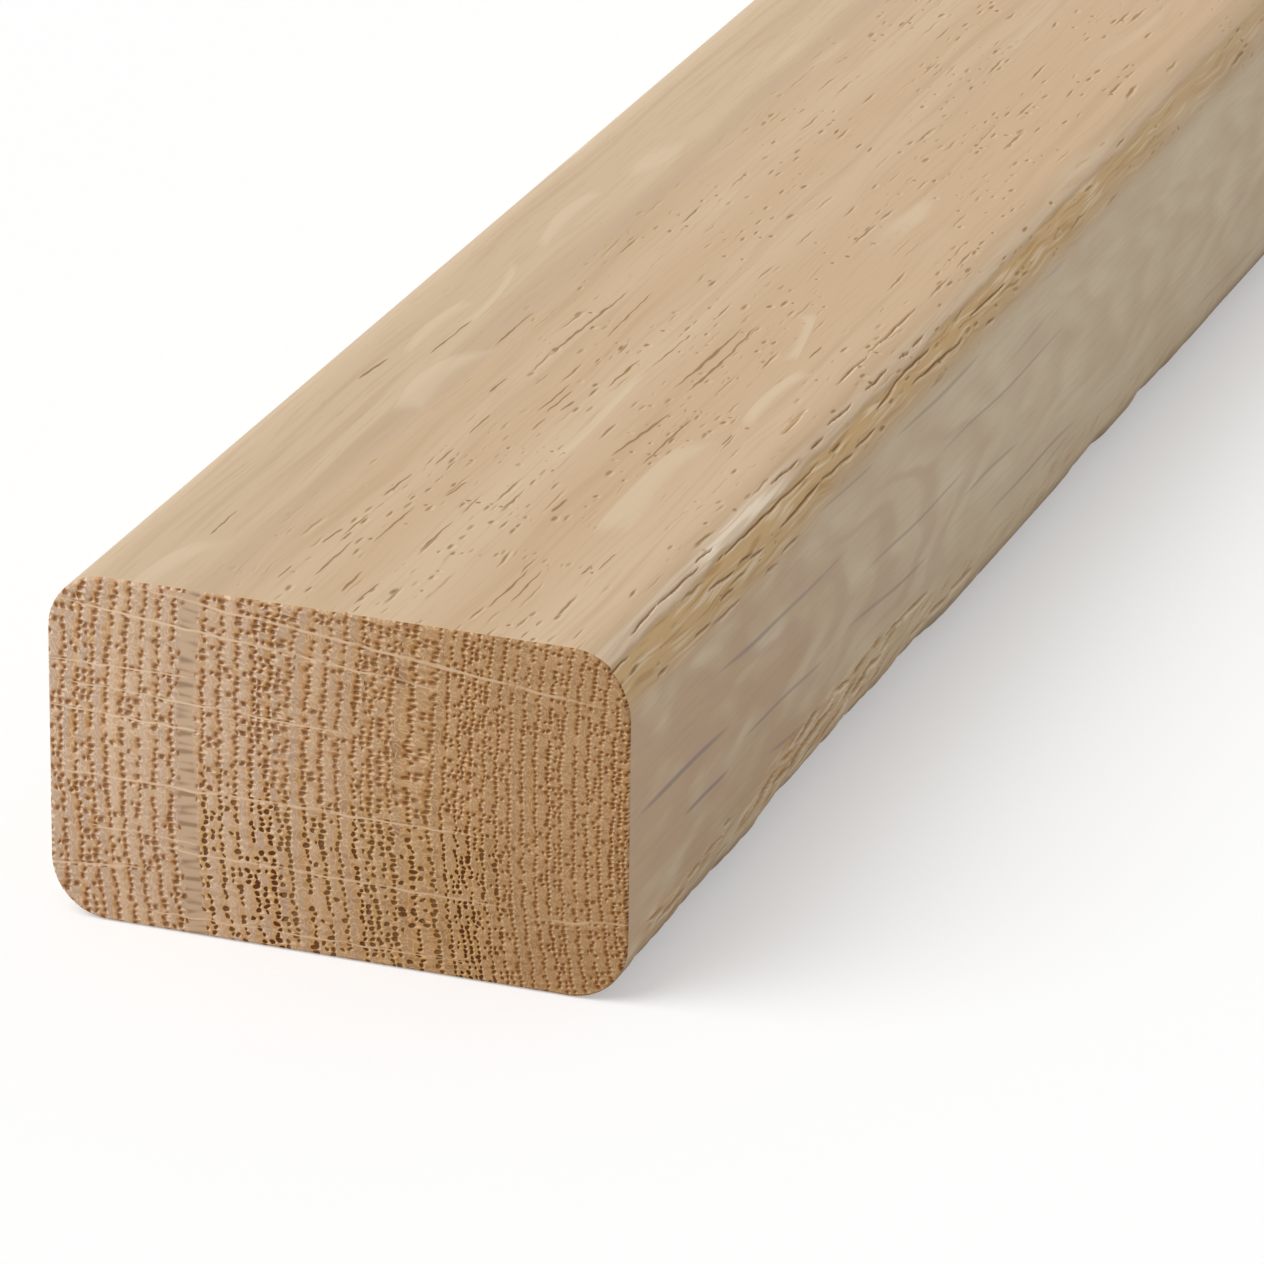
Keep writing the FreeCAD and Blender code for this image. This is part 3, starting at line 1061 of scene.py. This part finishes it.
def tearUpper(along, upper, setup):   # depth in mm, then how torn, how pale and how split the place is
    dying = 1.0 - step(along, *setup["diesAway"])
    soft = setup["ledgeSoft"]
    ledge = setup["ledge"] + wobble(along, setup["ledgeDrift"])
    rise = setup["footRise"] * step(along, *setup["footRises"])
    foot = setup["foot"] - rise + wobble(along, setup["footDrift"])
    ochre = step(upper, ledge - soft, ledge + soft)
    ochre *= 1.0 - step(upper, foot - setup["footSoft"], foot + setup["footSoft"])
    ochre *= setup["ochreFar"] + (1.0 - setup["ochreFar"]) * dying
    pale = step(upper, *setup["lipStart"]) * (1.0 - step(upper, ledge - soft, ledge)) * dying
    pale *= graded(along, setup["lipStrength"])
    split, beside = splitAt(setup["upperSplits"], along, upper, setup["upperWidth"], setup)
    long, wide = setup["fibreSize"]
    fibres = noise.noise(Vector((along / long, upper / wide, 0.0))) + 1.0
    depth = (setup["ochreDepth"] + setup["fibreDepth"] * fibres) * ochre + setup["upperDepth"] * split
    return depth, ochre, max(pale, setup["upperPale"] * beside), split


def tearLower(along, lower, setup):
    dying = 1.0 - step(along, *setup["diesAway"])
    top = setup["chipTop"] - setup["chipClimb"] * graded(along, setup["chipClimbs"])
    soft = setup["chipSoft"]
    rough = step(lower, top - soft, top + soft) * (1.0 - step(lower, *setup["chipEnd"])) * dying
    rough *= graded(along, setup["chipStrength"])
    long, wide = setup["chipSize"]
    comb = noise.noise(Vector((along / long, (lower + setup["chipLean"] * along) / wide, 0.0)))
    split, beside = splitAt(setup["lowerSplits"], along, lower, setup["lowerWidth"], setup)
    chip = max(split, rough * step(comb, *setup["chipFrom"]))
    sliver = max(beside, rough * step(-comb, *setup["chipFrom"]))
    bite = max(graded(along, setup["bites"]) + wobble(along, setup["biteDrift"]), 0.0) * dying
    bite *= step(lower, *setup["biteStart"]) * (1.0 - step(lower, *setup["biteEnd"]))
    depth = setup["chipDepth"] * chip + setup["biteDepth"] * bite
    return depth, setup["chipTorn"] * rough, setup["lowerPale"] * sliver, chip


def tearEdges(bm, setup):
    torn = bm.verts.layers.float.new("torn")
    lip = bm.verts.layers.float.new("lip")
    split = bm.verts.layers.float.new("split")
    foot = Vector((0.0, railLow.y, railLow.z))
    for vert in bm.verts:
        x, y, z = (vert.co - foot) / millimetre
        if x > 0.0:
            around, out, up = unroll(x, z)
            if z > railHeight / 2:
                tear = tearUpper(y, around - section["halfFlat"], setup)
            else:
                tear = tearLower(y, around - section["lowerStart"], setup)
            depth, vert[torn], vert[lip], vert[split] = tear
            vert.co -= Vector((out, 0.0, up)) * depth * millimetre


railBm = makeRail(railSetup)
print("rail", len(railBm.verts), "points,", len(railBm.faces), "faces")
layMaps(railBm, mapSetup)
tearEdges(railBm, tearSetup)
railMesh = bpy.data.meshes.new("oak_rail")
railBm.to_mesh(railMesh)
railBm.free()
railMesh.materials.append(makeLongGrain(faceSetup))
railMesh.materials.append(makeEndGrain(endSetup))
rail = bpy.data.objects.new("oak_rail", railMesh)
bpy.context.scene.collection.objects.link(rail)
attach(rail, "root")
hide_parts("handrail")
print("rail torn and finished")


# pale floor and plain soft studio light
stageSetup = {
    "floorRadius": 40.0,
    "floorSides": 96,
    "floorDrop": 0.0001,
    "floorShade": (0.82, 0.62),
    "floorLift": 0.38,
    "floorRoughness": 0.9,
    "white": (1.0, 1.0, 1.0, 1.0),
    # the sky as a light, and as the camera sees it
    "skyStrength": (0.45, 1.0),
    "sunStrength": 2.2,
    "sunFrom": (-0.45, -0.45, 0.77),
    "sunSpread": 50.0,
}


def seenRays(tree):   # 1 for what the camera, a gloss or a clear surface sees
    path = addNode(tree, "ShaderNodeLightPath", {}).outputs
    direct = calc(tree, "MAXIMUM", path["Is Camera Ray"], path["Is Glossy Ray"])
    return calc(tree, "MAXIMUM", direct, path["Is Transmission Ray"])


def makeStage(setup):
    bm = bmesh.new()
    bmesh.ops.create_circle(bm, cap_ends=True, segments=setup["floorSides"], radius=setup["floorRadius"])
    bmesh.ops.translate(bm, vec=(0.0, 0.0, railLow.z - setup["floorDrop"]), verts=bm.verts)
    mesh = bpy.data.meshes.new("floor")
    bm.to_mesh(mesh)
    bm.free()
    floor = bpy.data.objects.new("floor", mesh)
    bpy.context.scene.collection.objects.link(floor)
    material, tree, shader = newMaterial("paleFloor")
    seen = seenRays(tree)
    shade = between(tree, seen, setup["floorShade"])
    plug(tree, shader.inputs["Base Color"], together(tree, shade, shade, shade))
    shader.inputs["Roughness"].default_value = setup["floorRoughness"]
    shader.inputs["Specular IOR Level"].default_value = 0.0
    shader.inputs["Emission Color"].default_value = setup["white"]
    plug(tree, shader.inputs["Emission Strength"], times(tree, seen, setup["floorLift"]))
    mesh.materials.append(material)

    world = bpy.data.worlds.new("studio")
    world.use_nodes = True
    tree = world.node_tree
    strength = between(tree, seenRays(tree), setup["skyStrength"])
    background = tree.nodes["Background"]
    background.inputs["Color"].default_value = setup["white"]
    plug(tree, background.inputs["Strength"], strength)
    bpy.context.scene.world = world

    lamp = bpy.data.lights.new("softKey", "SUN")
    lamp.energy = setup["sunStrength"]
    lamp.angle = math.radians(setup["sunSpread"])
    key = bpy.data.objects.new("softKey", lamp)
    key.rotation_mode = "QUATERNION"
    key.rotation_quaternion = (-Vector(setup["sunFrom"])).to_track_quat("-Z", "Y")
    bpy.context.scene.collection.objects.link(key)
    bpy.context.scene.view_settings.view_transform = "Standard"


makeStage(stageSetup)
print("stage and light set")
